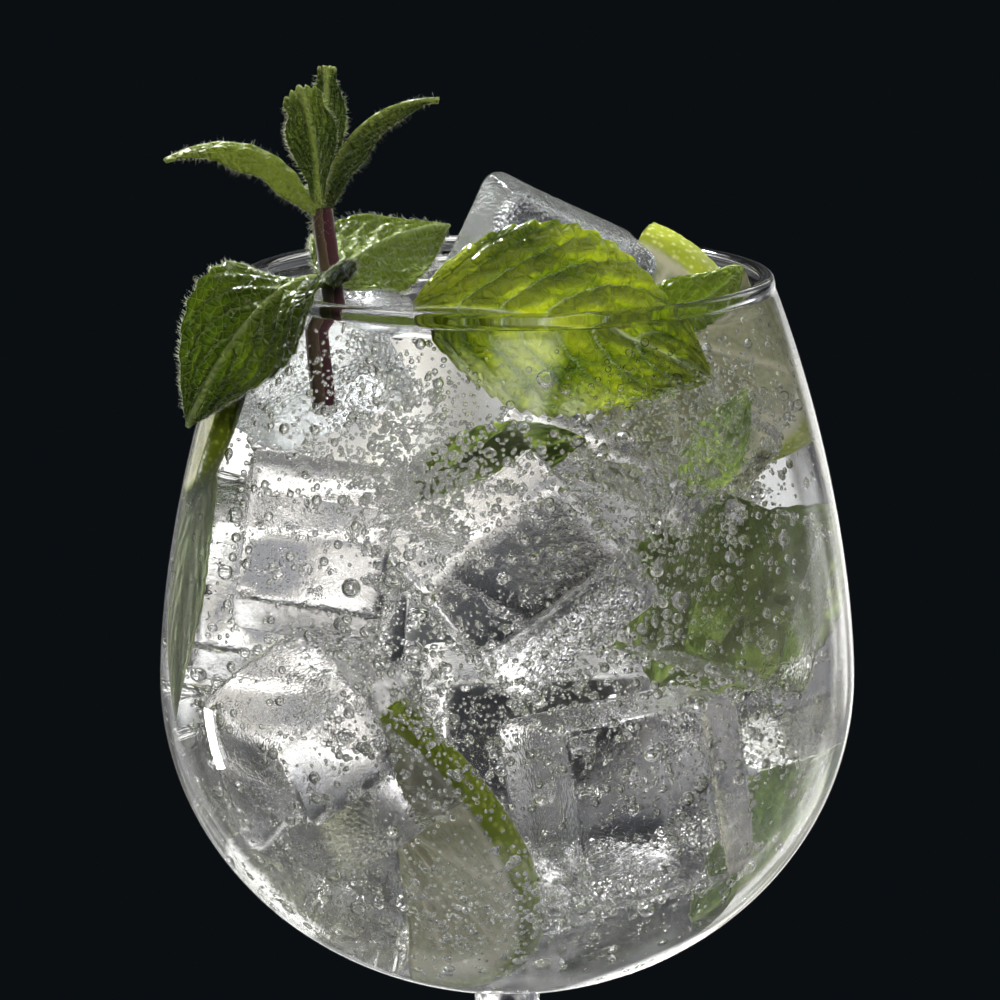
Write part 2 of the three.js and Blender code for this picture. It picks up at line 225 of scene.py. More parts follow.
def outward(points, faces):
    """The faces, turned so that the closed mesh looks outward."""
    volume = 0.0
    by_size = {}
    for face in faces:
        by_size.setdefault(len(face), []).append(face)
    for size, group in by_size.items():
        index = np.array(group)
        for k in range(1, size - 1):
            a, b, c = points[index[:, 0]], points[index[:, k]], points[index[:, k + 1]]
            volume += float(np.einsum("ij,ij->i", a, np.cross(b, c)).sum())
    return faces if volume > 0 else [tuple(reversed(face)) for face in faces]


def piece(name, points, faces, material, replaces=(), values=None, shadow=True):
    """One visible mesh, in millimetres, with its values by point for the material."""
    points = np.asarray(points, float)
    mesh = bpy.data.meshes.new(name)
    mesh.from_pydata((points * MM).tolist(), [], outward(points, faces))
    for key, numbers in (values or {}).items():
        layer = mesh.attributes.new(key, "FLOAT", "POINT")
        layer.data.foreach_set("value", np.asarray(numbers, np.float32))
    mesh.shade_smooth()
    mesh.materials.append(material)
    made = bpy.data.objects.new(name, mesh)
    bpy.context.scene.collection.objects.link(made)
    made.visible_shadow = shadow
    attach(made, "root")
    if replaces:
        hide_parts(*replaces)
    return made


def joined(parts):
    """Several (points, faces, values) as one."""
    points, faces, values, start = [], [], {}, 0
    for part_points, part_faces, part_values in parts:
        points.append(part_points)
        faces += [tuple(i + start for i in face) for face in part_faces]
        for key, numbers in part_values.items():
            values.setdefault(key, []).append(numbers)
        start += len(part_points)
    return np.vstack(points), faces, {key: np.concatenate(v) for key, v in values.items()}


def lathe(profile, sides):
    """A profile of (radius, z) from the axis back to the axis, turned round it."""
    profile = np.asarray(profile, float)
    angles = np.arange(sides) * (2 * math.pi / sides)
    inner = profile[1:-1]
    ring = np.stack([np.cos(angles), np.sin(angles)], 1)
    points = np.concatenate([
        inner[:, None, :1] * ring[None], np.repeat(inner[:, None, 1:], sides, 1)], 2).reshape(-1, 3)
    first, last = len(points), len(points) + 1
    points = np.vstack([points, [0, 0, profile[0, 1]], [0, 0, profile[-1, 1]]])
    faces = []
    for i in range(len(inner) - 1):
        for j in range(sides):
            k = (j + 1) % sides
            faces.append((i * sides + j, i * sides + k, (i + 1) * sides + k, (i + 1) * sides + j))
    end = (len(inner) - 1) * sides
    for j in range(sides):
        k = (j + 1) % sides
        faces.append((first, k, j))
        faces.append((last, end + j, end + k))
    return points, faces


def wobble(points, scale, seed):
    """Smooth noise from -1 to 1 as a sum of waves of about the given length."""
    random = np.random.default_rng(seed)
    total = np.zeros(len(points))
    count = 7
    for _ in range(count):
        way = random.normal(size=3)
        way *= 2 * math.pi / scale * random.uniform(0.6, 1.4) / np.linalg.norm(way)
        total += np.sin(points @ way + random.uniform(0, 2 * math.pi))
    return total / math.sqrt(count) / 1.6


# Glass and drink

def bowl_radius(z):
    up = np.asarray(z, float) - BELLY_Z
    low = BOWL_RADIUS * np.sqrt(np.clip(1 - (up / BOWL_BELLY) ** 2, 0, 1))
    share = np.clip(up, 0, None) / SHOULDER_REACH
    high = BOWL_RADIUS * np.clip(1 - share ** SHOULDER_POWER, 0, 1) ** (1 / SHOULDER_POWER)
    return np.where(up <= 0, low, high)


def hollow_radius(z):
    up = np.asarray(z, float) - BELLY_Z
    low = (BOWL_RADIUS - WALL) * np.sqrt(np.clip(1 - (up / HOLLOW_DEPTH) ** 2, 0, 1))
    return np.where(up <= 0, low, bowl_radius(z) - WALL)


def hollow_profile(top, inset, low_steps=48, high_steps=36):
    """The inside of the bowl from its bottom up, moved in from the wall by an inset."""
    depth = HOLLOW_DEPTH - inset
    angles = np.linspace(0, math.pi / 2, low_steps + 1)
    low = np.stack([(BOWL_RADIUS - WALL - inset) * np.sin(angles), BELLY_Z - depth * np.cos(angles)], 1)
    z = np.linspace(BELLY_Z, top, high_steps + 1)[1:]
    return np.vstack([low, np.stack([hollow_radius(z) - inset, z], 1)])


def quadratic(a, b, c, steps):
    t = np.linspace(0, 1, steps + 1)[:, None]
    return (1 - t) ** 2 * np.array(a) + 2 * t * (1 - t) * np.array(b) + t ** 2 * np.array(c)


def lip_bead(z):
    """How far the rolled lip swells past the wall on each side."""
    return LIP_SWELL * np.exp(-((np.asarray(z, float) - LIP_Z + 0.2) / 0.8) ** 2)


def glass_profile():
    """The glass from under the foot up its outside, over the lip and down the inside of the bowl."""
    hollow = np.linspace(0, FOOT_RING, 13)
    parts = [np.stack([hollow, FOOT_HOLLOW * (1 - (hollow / FOOT_RING) ** 2)], 1)]
    parts.append(quadratic((39.2, 0), (40, 0), (FOOT_RADIUS, 0.8), 6))
    rise = (FOOT_RISE - FOOT_EDGE) * np.linspace(0, 1, 36)[1:] ** 2
    reach = (FOOT_RADIUS - STEM_RADIUS) * np.exp(-rise / FOOT_FLARE)
    edge_end = (STEM_RADIUS + reach[0], FOOT_EDGE + rise[0])
    parts.append(quadratic((FOOT_RADIUS, 1.2), (FOOT_RADIUS, FOOT_EDGE), edge_end, 5))
    parts.append(np.stack([STEM_RADIUS + reach[1:], FOOT_EDGE + rise[1:]], 1))
    share = np.linspace(0, 1, 24)[1:]
    stem = STEM_RADIUS + (STEM_TOP_RADIUS - STEM_RADIUS) * share ** 3
    parts.append(np.stack([stem, FOOT_RISE + (STEM_TOP_Z - FOOT_RISE) * share], 1))
    first = 0.17
    joint = (BOWL_RADIUS * math.sin(first), BELLY_Z - BOWL_BELLY * math.cos(first))
    parts.append(quadratic((STEM_TOP_RADIUS, STEM_TOP_Z), (5.4, 82.0), joint, 7)[1:])
    angles = np.linspace(first, math.pi / 2, 48)[1:]
    parts.append(np.stack([BOWL_RADIUS * np.sin(angles), BELLY_Z - BOWL_BELLY * np.cos(angles)], 1))
    near_lip = np.linspace(LIP_Z - 4, LIP_Z, 12)[1:]
    z = np.concatenate([np.linspace(BELLY_Z, LIP_Z - 4, 30)[1:], near_lip])
    parts.append(np.stack([bowl_radius(z) + lip_bead(z), z], 1))
    middle = float(bowl_radius(LIP_Z)) - WALL / 2
    half = WALL / 2 + float(lip_bead(LIP_Z))
    turn = np.linspace(0, math.pi, 13)[1:-1]
    parts.append(np.stack([middle + half * np.cos(turn), LIP_Z + LIP_HEIGHT * np.sin(turn)], 1))
    lip_inside = np.stack([hollow_radius(near_lip) - lip_bead(near_lip), near_lip], 1)
    parts.append(np.vstack([hollow_profile(LIP_Z - 4, 0), lip_inside])[::-1])
    profile = np.vstack(parts)
    profile[0, 0] = profile[-1, 0] = 0
    return profile


def drink_profile():
    """The drink, which reaches into the wall, with the rise of its surface along it."""
    top = DRINK_LEVEL + MENISCUS_RISE
    wall = hollow_profile(top, -INTO_WALL)
    reach = float(hollow_radius(top))
    near_wall = reach + INTO_WALL - np.linspace(0, 8, 18)[1:]
    fall = np.concatenate([near_wall, np.linspace(reach - 8, 0, 40)[1:]])
    z = DRINK_LEVEL + MENISCUS_RISE * np.exp(-np.clip(reach - fall, 0, None) / MENISCUS_REACH)
    return np.vstack([wall, np.stack([fall, z], 1)])


def drink_mesh():
    points, faces = lathe(drink_profile(), GLASS_SIDES)
    top = (points[:, 2] > DRINK_LEVEL - 1) & (np.hypot(points[:, 0], points[:, 1]) < 39.5)
    points[top, 2] += 0.12 * wobble(points[top], 9, 3)
    return points, faces


# Ice

def turned(points, cube):
    """Points in a cube's own axes, turned and moved to where it lies."""
    _, at, angles = cube
    turn = Euler([math.radians(angle) for angle in angles], "XYZ").to_matrix()
    return points @ np.array(turn).T + np.array(at)


def ice_mesh(cube, corner, seed, steps):
    """A cube with round corners, a little sunk in the middle of its faces and melted unevenly."""
    size = cube[0]
    half = size / 2
    line = np.sin(np.linspace(-1, 1, steps + 1) * math.pi / 2)
    grid_a, grid_b = np.meshgrid(line, line, indexing="ij")
    points, faces, start = [], [], 0
    for axis in range(3):
        for way in (-1, 1):
            face = np.zeros((steps + 1, steps + 1, 3))
            face[..., axis] = way
            face[..., (axis + 1) % 3] = grid_a * way
            face[..., (axis + 2) % 3] = grid_b
            points.append(face.reshape(-1, 3))
            for i in range(steps):
                for j in range(steps):
                    a = start + i * (steps + 1) + j
                    faces.append((a, a + steps + 1, a + steps + 2, a + 1))
            start += (steps + 1) ** 2
    points = np.vstack(points) * half
    keys = {}
    same = np.array([keys.setdefault(tuple(row), len(keys)) for row in np.round(points, 4).tolist()])
    kept = np.zeros((len(keys), 3))
    kept[same] = points
    faces = [tuple(int(same[i]) for i in face) for face in faces]
    core = np.clip(kept, -(half - corner), half - corner)
    away = kept - core
    away /= np.linalg.norm(away, axis=1)[:, None]
    inset = np.abs(kept) / half
    inset = np.sort(inset, 1)
    sag = (1 - inset[:, 0] ** 2) * (1 - inset[:, 1] ** 2)
    out = core + away * corner
    out -= away * (ICE_SAG * sag + ICE_MELT * (1 + wobble(out, size * 0.7, seed)) / 2)[:, None]
    return turned(out, cube), faces


# Mint

def bezier(p, t):
    """Points of a cubic curve and the ways it runs there."""
    p = np.asarray(p, float)
    t = t[:, None]
    u = 1 - t
    at = u ** 3 * p[0] + 3 * t * u ** 2 * p[1] + 3 * t ** 2 * u * p[2] + t ** 3 * p[3]
    along = 3 * u ** 2 * (p[1] - p[0]) + 6 * t * u * (p[2] - p[1]) + 3 * t ** 2 * (p[3] - p[2])
    return at, along / np.linalg.norm(along, axis=1)[:, None]


def leaf_grid(leaf, t, s):
    """Points of a leaf's middle layer at shares t of its length and s from -1 to 1 across."""
    at, tangent = bezier(leaf["midrib"], t)
    side = np.array(leaf["side"], float)
    spread = side - (tangent @ side)[:, None] * tangent
    spread /= np.linalg.norm(spread, axis=1)[:, None]
    up = np.cross(tangent, spread)
    fold = math.radians(leaf["fold"])
    saw = (t * TEETH) % 1
    notch = np.where(saw < TOOTH_BACK, 1 - saw / TOOTH_BACK, (saw - TOOTH_BACK) / (1 - TOOTH_BACK))
    tooth = 1 - TOOTH_DEPTH * notch
    blade = np.clip(np.sin(math.pi * t ** leaf["belly"]), 0, 1) ** BLADE_POWER
    tip = leaf.get("tip", LEAF_TIP_HALF)
    half = np.maximum(LEAF_BASE_HALF + (tip - LEAF_BASE_HALF) * t, leaf["width"] / 2 * blade * tooth)
    crown = tip * (t ** 8)[:, None] * (0.35 * (1 - s ** 2) + 0.08 * np.cos(5 * math.pi * s))[None]
    phase = 2 * math.pi * leaf["waves"] * t[:, None] + (s[None] > 0)
    ripple = leaf["wave"] * np.sin(phase) * s[None] ** 2 * np.sin(math.pi * t)[:, None]
    rise = np.abs(s)[None] * half[:, None] * math.sin(fold) + ripple
    rise += leaf_relief(leaf, t, s, half)
    return (at[:, None] + spread[:, None] * (s[None] * half[:, None] * math.cos(fold))[..., None]
            + up[:, None] * rise[..., None] + tangent[:, None] * crown[..., None])


def vein_phase(t, s):
    """Counts the side veins, which leave the midrib forward and bend along the margin."""
    return (t[:, None] - VEIN_SLANT * np.abs(s)[None] ** 1.3) * VEINS


def leaf_puffs(t, s):
    """How far the tissue swells between the veins, from 0 in a crease to 1."""
    phase = vein_phase(t, s)
    between = np.abs(np.sin(math.pi * phase)) ** 0.6
    outward_phase = np.abs(s)[None] * 4 + 0.5 * np.floor(phase)
    return between * (0.45 + 0.55 * np.abs(np.sin(math.pi * outward_phase)) ** 0.6)


def leaf_relief(leaf, t, s, half):
    """Grooves over the midrib and side veins and the swollen tissue between them."""
    inner = np.clip(half, 0, 3)[:, None] / 3
    edge = np.clip((1 - np.abs(s)) * 5, 0, 1)[None]
    rib = np.exp(-(s[None] * half[:, None] / GROOVE_HALF) ** 2)
    relief = max(leaf["width"], 14) / 24 * (leaf_puffs(t, s) * (1 - rib) - 0.5 * rib)
    return relief * inner * edge


def leaf_mesh(leaf, rows, columns):
    """A thin wavy solid, both faces split alike, with values for its veins and a tone with painted shade.
    """
    t = np.linspace(0, 1, rows + 1)
    s = np.linspace(-1, 1, 2 * columns + 1)
    grid = leaf_grid(leaf, t, s)
    along = np.gradient(grid, axis=0)
    across = np.gradient(grid, axis=1)
    normal = np.cross(along, across)
    normal /= np.maximum(np.linalg.norm(normal, axis=2), 1e-9)[..., None]
    thick = LEAF_THICKNESS / 2
    wide = len(s)
    points = np.concatenate([grid + normal * thick, grid - normal * thick]).reshape(-1, 3)
    low = (rows + 1) * wide
    faces = []
    for i in range(rows):
        for j in range(wide - 1):
            a = i * wide + j
            faces.append((a, a + wide, a + wide + 1, a + 1))
            faces.append((low + a, low + a + 1, low + a + wide + 1, low + a + wide))
        a, b = i * wide, i * wide + wide - 1
        faces.append((a, low + a, low + a + wide, a + wide))
        faces.append((b, b + wide, low + b + wide, low + b))
    for j in range(wide - 1):
        a, b = j, rows * wide + j
        faces.append((a, a + 1, low + a + 1, low + a))
        faces.append((b, low + b, low + b + 1, b + 1))
    half = leaf["width"] / 2 * np.clip(np.sin(math.pi * t ** leaf["belly"]), 0.02, 1)
    phase = vein_phase(t, s)
    near = np.abs(phase - np.round(phase)) / VEINS * LEAF_LENGTH
    side_vein = np.exp(-(near / VEIN_HALF) ** 2) * np.clip(1.15 - np.abs(s), 0, 1)[None]
    rib = np.exp(-(s[None] * half[:, None] / RIB_HALF) ** 2)
    vein = np.maximum(side_vein * 0.85, rib)
    # Pale band along the lower margin: partly the leaf's own cream edge, partly painted glints
    margin = leaf.get("pale", 0) * np.clip((-s - 0.62) / 0.3, 0, 1)[None]
    vein = np.maximum(vein, margin * (0.55 + 0.45 * np.sin(t * 31 + 2 * np.sin(t * 13)))[:, None])
    # Painted shade: the tone is darker in the creases between the puffs and lighter on the puffs
    value = {
        "vein": np.tile(vein.ravel(), 2),
        "tone_and_painted_light": np.tile(leaf.get("tone_and_painted_light", 0.5) + 0.3 * (leaf_puffs(t, s).ravel() - 0.5), 2),
    }
    return points, faces, value


def tube(route, section, steps):
    """A section of (across, up) points swept along a smooth line through the route."""
    route = np.asarray(route, float)
    knots = np.linspace(0, 1, len(route))
    t = np.linspace(0, 1, steps + 1)
    at = np.stack([np.polyval(np.polyfit(knots, route[:, k], 3), t) for k in range(3)], 1)
    along = np.gradient(at, axis=0)
    along /= np.linalg.norm(along, axis=1)[:, None]
    right = np.cross(along, (0, 1, 0))
    right /= np.linalg.norm(right, axis=1)[:, None]
    up = np.cross(right, along)
    count = len(section)
    section = np.asarray(section, float)
    points = (at[:, None] + right[:, None] * section[None, :, :1] + up[:, None] * section[None, :, 1:])
    points = points.reshape(-1, 3)
    faces = []
    for i in range(steps):
        for j in range(count):
            a, b = i * count + j, i * count + (j + 1) % count
            faces.append((a, b, b + count, a + count))
    faces.append(tuple(range(count)))
    faces.append(tuple(range(steps * count + count - 1, steps * count - 1, -1)))
    return points, faces


def stem_mesh():
    """The square stem with round corners and a fine groove along each."""
    angles = np.arange(STEM_SIDES) * (2 * math.pi / STEM_SIDES)
    square = np.maximum(np.abs(np.cos(angles)), np.abs(np.sin(angles)))
    radius = STEM_HALF_WIDTH / square
    radius = np.minimum(radius, STEM_HALF_WIDTH * 1.22)
    groove = 1 - 0.10 * np.exp(-((square - 1) / 0.02) ** 2)
    radius = radius * groove
    section = np.stack([radius * np.cos(angles), radius * np.sin(angles)], 1)
    points, faces = tube(STEM_ROUTE, section, STEM_STEPS)
    return points, faces, {"across": np.tile(-np.cos(angles), STEM_STEPS + 1)}


def hair_mesh(leaves):
    """Fine hairs that stand on leaves and round the sprig's knot, as slim three-sided spikes."""
    roots, ways = [], []
    widths = sum(leaf["width"] for leaf in leaves)
    for leaf in leaves:
        count = max(8, int(HAIRS * leaf["width"] / widths))
        t = np.sort(rng.uniform(0.02, 0.98, count))
        grid = leaf_grid(leaf, t, np.linspace(-1, 1, 9))
        pick = rng.choice([0, 0, 0, 8, 8, 8, 1, 3, 5, 7], count)
        root = grid[np.arange(count), pick]
        out = root - grid[:, 4]
        out /= np.maximum(np.linalg.norm(out, axis=1), 1e-6)[:, None]
        up = np.cross(grid[:, 8] - grid[:, 0], np.gradient(grid[:, 4], axis=0))
        up /= np.maximum(np.linalg.norm(up, axis=1), 1e-6)[:, None]
        tilt = np.where(np.isin(pick, (0, 8)), 0.5, 2.5)[:, None]
        way = out + up * tilt * rng.choice([-1, 1], count)[:, None] + rng.normal(0, 0.35, (count, 3))
        roots.append(root)
        ways.append(way / np.linalg.norm(way, axis=1)[:, None])
    angle = rng.uniform(0, 2 * math.pi, KNOT_HAIRS)
    round_stem = np.stack([np.cos(angle), np.sin(angle), np.zeros(KNOT_HAIRS)], 1)
    drop = rng.normal(-1.5, 1.6, KNOT_HAIRS)
    roots.append(np.array(STEM_ROUTE[-1]) + 1.4 * round_stem + drop[:, None] * (0, 0, 1))
    ways.append(round_stem + rng.normal(0, 0.4, KNOT_HAIRS)[:, None] * (0, 0, 1))
    root, way = np.vstack(roots), np.vstack(ways)
    long = rng.uniform(*HAIR_LENGTHS, len(root))[:, None]
    side = np.cross(way, rng.normal(size=way.shape))
    side /= np.linalg.norm(side, axis=1)[:, None]
    over = np.cross(way, side)
    corners = [root - way * 0.1 + HAIR_HALF * (math.cos(angle) * side + math.sin(angle) * over)
               for angle in (0, 2 * math.pi / 3, 4 * math.pi / 3)]
    points = np.stack([*corners, root + way * long], 1).reshape(-1, 3)
    faces = []
    for k in range(0, len(points), 4):
        faces += [(k, k + 1, k + 3), (k + 1, k + 2, k + 3), (k + 2, k, k + 3), (k, k + 2, k + 1)]
    return points, faces


# Lime

def lime_mesh(radius, thickness, at, face, cut, rings=26, turns=120):
    """Half of a round slice, with its segments sunk a little between their membranes."""
    h = thickness / 2
    flat = np.linspace(0, radius - LIME_BULGE, rings + 1)
    corner = np.linspace(-math.pi / 2, math.pi / 2, 13)[1:-1]
    bend = radius - LIME_BULGE + (LIME_BULGE * 1.3) * np.cos(corner)
    line = np.concatenate([flat, bend, flat[::-1]])
    deep = np.concatenate([np.full(rings + 1, -h), h * np.sin(corner), np.full(rings + 1, h)])
    zest = np.concatenate([np.zeros(rings + 1), np.ones(len(corner)), np.zeros(rings + 1)])
    zest[rings] = zest[rings + len(corner) + 1] = 0.6
    count = turns + 1
    theta = np.linspace(-math.pi / 2, math.pi / 2, count)
    rho, turn = np.meshgrid(line, theta, indexing="ij")
    y = np.repeat(deep[:, None], count, 1)
    skin = np.repeat(zest[:, None], count, 1)
    share = rho / radius
    step = 2 * math.pi / SEGMENTS
    off = np.abs((turn / step + 0.5) % 1 - 0.5) * step * rho
    membrane = np.exp(-(off / MEMBRANE_HALF) ** 2)
    inside = np.clip((PITH_SHARE - share) * 22, 0, 1) * np.clip((share - CORE_SHARE) * 14, 0, 1)
    pulp = inside * (1 - membrane)
    sacs = np.sin(turn * 23 + rho * 1.1) * np.sin(rho * 2.3 + turn * 7)
    y = y - np.sign(y) * pulp * (PULP_SINK + 0.14 * sacs)
    bump = 0.10 * np.sin(turn * 61) * np.sin(y * 2.9 + 1.7 * np.sin(turn * 17))
    rho = rho + skin * bump
    pulp = np.where(skin > 0, 0, pulp)
    local = np.stack([rho * np.cos(turn), y, rho * np.sin(turn)], 2).reshape(-1, 3)
    rows = len(line)
    faces = []
    for i in range(rows - 1):
        for j in range(turns):
            a = i * count + j
            faces.append((a, a + 1, a + count + 1, a + count))
    for i in range(rows // 2):
        o = rows - 1 - i
        for j in (0, count - 1):
            a, b, c, d = i * count + j, (i + 1) * count + j, (o - 1) * count + j, o * count + j
            faces.append((a, b, c, d) if j else (d, c, b, a))
    normal = np.array(face, float)
    normal /= np.linalg.norm(normal)
    up = np.array(cut, float)
    up -= normal * (up @ normal)
    up /= np.linalg.norm(up)
    right = np.cross(up, normal)
    points = (local[:, :1] * right + local[:, 1:2] * normal - local[:, 2:] * up) + np.array(at, float)
    return points, faces, {"pulp": pulp.ravel(), "zest": skin.ravel()}


# Bubbles

def sphere(level):
    """A round ball of radius 1 as points and triangles."""
    made = bpy.data.meshes.new("unit")
    built = bmesh.new()
    bmesh.ops.create_icosphere(built, subdivisions=level, radius=1)
    built.to_mesh(made)
    built.free()
    points = np.array([v.co for v in made.vertices])
    faces = np.array([p.vertices for p in made.polygons])
    bpy.data.meshes.remove(made)
    return points, faces


def bubble_mesh(centres, radii, level):
    unit, faces = sphere(level)
    points = (centres[:, None] + unit[None] * radii[:, None, None]).reshape(-1, 3)
    shifts = np.arange(len(centres))[:, None, None] * len(unit)
    return points, (faces[None] + shifts).reshape(-1, faces.shape[1]).tolist()


def on_wall(radii, low, high, thick):
    """Bubbles that cling to the inside of the bowl between two heights, or up to `thick` off it."""
    count = len(radii)
    z = rng.uniform(low, high, count)
    angle = rng.uniform(0, 2 * math.pi, count)
    reach = hollow_radius(z) - radii * 1.02 - INTO_WALL * 0.3 - rng.uniform(0, 1, count) * thick
    reach = np.maximum(reach, 0)
    z = np.maximum(z, BELLY_Z - HOLLOW_DEPTH + radii * 1.5)
    return np.stack([reach * np.cos(angle), reach * np.sin(angle), z], 1)


def on_cube(cube, radii, edges):
    """Bubbles on the faces of a cube, a share of them along its edges."""
    count = len(radii)
    half = cube[0] / 2
    local = rng.uniform(-1, 1, (count, 3))
    axis = rng.integers(0, 3, count)
    rows = np.arange(count)
    local[rows, axis] = np.sign(local[rows, axis])
    near_edge = rng.random(count) < edges
    other = (axis + rng.integers(1, 3, count)) % 3
    push = np.sign(local[rows, other]) * (1 - np.abs(rng.normal(0, 0.06, count)))
    local[rows, other] = np.where(near_edge, push, local[rows, other])
    points = local * half
    points[rows, axis] = np.sign(local[rows, axis]) * (half + radii * 0.9 - BUBBLE_LIFT)
    return turned(points, cube)


def in_foam(patch, radii):
    """Bubbles crowded behind the front of the bowl in a patch, up to some millimetres off it."""
    middle, spread, _ = patch
    count = len(radii)
    x = middle[0] + rng.normal(0, spread[0], count)
    z = middle[1] + rng.normal(0, spread[1], count)
    reach = hollow_radius(z) - radii - np.abs(rng.normal(0, FOAM_DEPTH, count))
    y = -np.sqrt(np.clip(reach ** 2 - x ** 2, 0, None))
    return np.stack([x, y, z], 1)


def drawn_radii(count, sizes):
    least, most, power = sizes
    return least + (most - least) * rng.random(count) ** power


def in_drink(points, radii):
    """Which bubbles lie wholly in the drink."""
    z = points[:, 2]
    bottom = BELLY_Z - HOLLOW_DEPTH + 0.3
    reach = hollow_radius(np.clip(z, 87, 190)) + 0.35 - radii
    return ((np.hypot(points[:, 0], points[:, 1]) < reach) & (z < DRINK_LEVEL - radii * 0.6)
            & (z > bottom + radii))


def bubble_piece(kind):
    """The bubbles of one kind: on the wall, on the cubes and in the crowded patches."""
    count, sizes = kind["wall"]
    radii = [drawn_radii(count, sizes)]
    centres = [on_wall(radii[0], *kind["heights"], kind["off_wall"])]
    count, sizes = kind["ice"]
    for cube in kind["cubes"]:
        radii.append(drawn_radii(count, sizes))
        centres.append(on_cube(cube, radii[-1], kind["on_edges"]))
    if kind["foam"]:
        share, sizes = kind["foam"]
        for patch in FOAM:
            radii.append(drawn_radii(patch[2] // share, sizes))
            centres.append(in_foam(patch, radii[-1]))
    centres, radii = np.vstack(centres), np.concatenate(radii)
    keep = in_drink(centres, radii)
    points, faces = bubble_mesh(centres[keep], radii[keep], kind["level"])
    piece(kind["name"], points, faces, bubble_clear, shadow=False)


# Materials

class Graph:
    """The nodes of a material or the world, where a value is a number, a colour or an output."""

    def __init__(self, owner):
        owner.use_nodes = True
        self.nodes, self.links = owner.node_tree.nodes, owner.node_tree.links
        self.nodes.clear()

    def put(self, value, socket):
        if isinstance(value, bpy.types.NodeSocket):
            self.links.new(value, socket)
        elif isinstance(value, tuple) and socket.type == "RGBA":
            socket.default_value = (*value, 1)
        else:
            socket.default_value = value

    def node(self, kind, values=()):
        made = self.nodes.new("ShaderNode" + kind)
        for key, value in dict(values).items():
            self.put(value, made.inputs[key])
        return made

    def attribute(self, name):
        made = self.node("Attribute")
        made.attribute_name = name
        return made.outputs["Fac"]

    def texture(self, kind, scale, values=(), place="Object"):
        """A Noise or Voronoi texture in the object's own coordinates."""
        at = self.node("TexCoord").outputs[place]
        return self.node("Tex" + kind, {"Scale": scale, "Vector": at, **dict(values)})

    def number(self, operation, *values):
        made = self.node("Math")
        made.operation = operation
        for value, socket in zip(values, made.inputs):
            self.put(value, socket)
        return made.outputs[0]

    def ramp(self, value, stops):
        """Colours, or greys given as one number, between places along a value."""
        made = self.node("ValToRGB", {"Fac": value})
        elements = made.color_ramp.elements
        while len(elements) < len(stops):
            elements.new(0.5)
        for element, (place, colour) in zip(elements, stops):
            element.position = place
            element.color = (*colour, 1) if isinstance(colour, tuple) else (*[colour] * 3, 1)
        return made.outputs["Color"]

    def blend(self, share, first, second, kind="MIX"):
        made = self.node("Mix")
        made.data_type = "RGBA"
        made.blend_type = kind
        for value, key in ((share, "Factor"), (first, 6), (second, 7)):
            self.put(value, made.inputs[key])
        return made.outputs[2]

    def times(self, first, second):
        return self.blend(1.0, first, second, "MULTIPLY")

    def plus(self, first, second):
        return self.blend(1.0, first, second, "ADD")

    def bump(self, height, strength, depth=0.0002, values=()):
        sizes = {"Strength": strength, "Distance": depth}
        return self.node("Bump", {"Height": height, **sizes, **dict(values)}).outputs["Normal"]

    def principled(self, colour, roughness, values=()):
        own = {"Base Color": colour, "Roughness": roughness}
        return self.node("BsdfPrincipled", {**own, **dict(values)}).outputs[0]

    def mixed(self, share, first, second):
        return self.node("MixShader", {0: share, 1: first, 2: second}).outputs[0]

    def show(self, shader, kind="Material"):
        self.node("Output" + kind, {"Surface": shader})


def clear_material(name, ior, tint, bump_scale, bump_strength, roughness=0.0, pits=0.0):
    """A clear material that lets light through to what stands behind it."""
    made = bpy.data.materials.new(name)
    graph = Graph(made)
    noise = graph.texture("Noise", bump_scale).outputs["Fac"]
    normal = graph.bump(noise, bump_strength)
    if pits:
        cells = graph.texture("Voronoi", 1500).outputs["Distance"]
        normal = graph.bump(cells, pits, values={"Normal": normal})
    paler = tuple(min(1, 1.02 * share) for share in tint)
    body = graph.principled(graph.ramp(noise, ((0.0, tint), (1.0, paler))), roughness,
                            {"Normal": normal, "Transmission Weight": 1.0, "IOR": ior})
    through = graph.node("BsdfTransparent", {"Color": SHADOW_TINT}).outputs[0]
    graph.show(graph.mixed(graph.node("LightPath").outputs["Is Shadow Ray"], body, through))
    return made


def mint_material(name, dark, light, vein, glow, wet, quilt=0.6, net=0.35, through=0.45,
                  cell=700, sheen=0.25):
    """A leaf: two greens in soft patches, a net of fine veins between the side veins, quilted.

    Light that shines through takes the glow's colour, except along the veins. Painted shade
    darkens each quilt cell towards its edges, and the tone adds painted light and shade.
    """
    made = bpy.data.materials.new(name)
    graph = Graph(made)
    patches = graph.texture("Noise", 90).outputs["Fac"]
    cells = graph.texture("Voronoi", cell)
    cells.feature = "DISTANCE_TO_EDGE"
    apart = cells.outputs["Distance"]
    # Painted light and shade: cell middles lighter and cell edges darker, plus the tone, with random
    # patches
    shade = graph.number("MULTIPLY_ADD", apart, 0.6, graph.number("ADD", patches, graph.attribute("tone_and_painted_light")))
    spread = graph.node("MapRange", {"Value": shade, "From Min": 0.86, "From Max": 1.3}).outputs["Result"]
    lines = graph.ramp(apart, ((0.0, net), (0.09, 0.0)))
    netted = graph.blend(lines, graph.ramp(spread, ((0.0, dark), (1.0, light))), vein)
    on_vein = graph.attribute("vein")
    puffs = graph.bump(apart, quilt, 0.0008)
    grain = graph.texture("Noise", 3500).outputs["Fac"]
    normal = graph.bump(grain, 0.25, 0.0001, {"Normal": puffs})
    body = graph.principled(graph.blend(on_vein, netted, vein), wet,
                            {"Normal": normal, "Sheen Weight": sheen, "Sheen Roughness": 0.4})
    lit = graph.blend(on_vein, graph.times(netted, glow), vein)
    back = graph.node("BsdfTranslucent", {"Color": lit, "Normal": normal}).outputs[0]
    graph.show(graph.mixed(through, body, back))
    return made


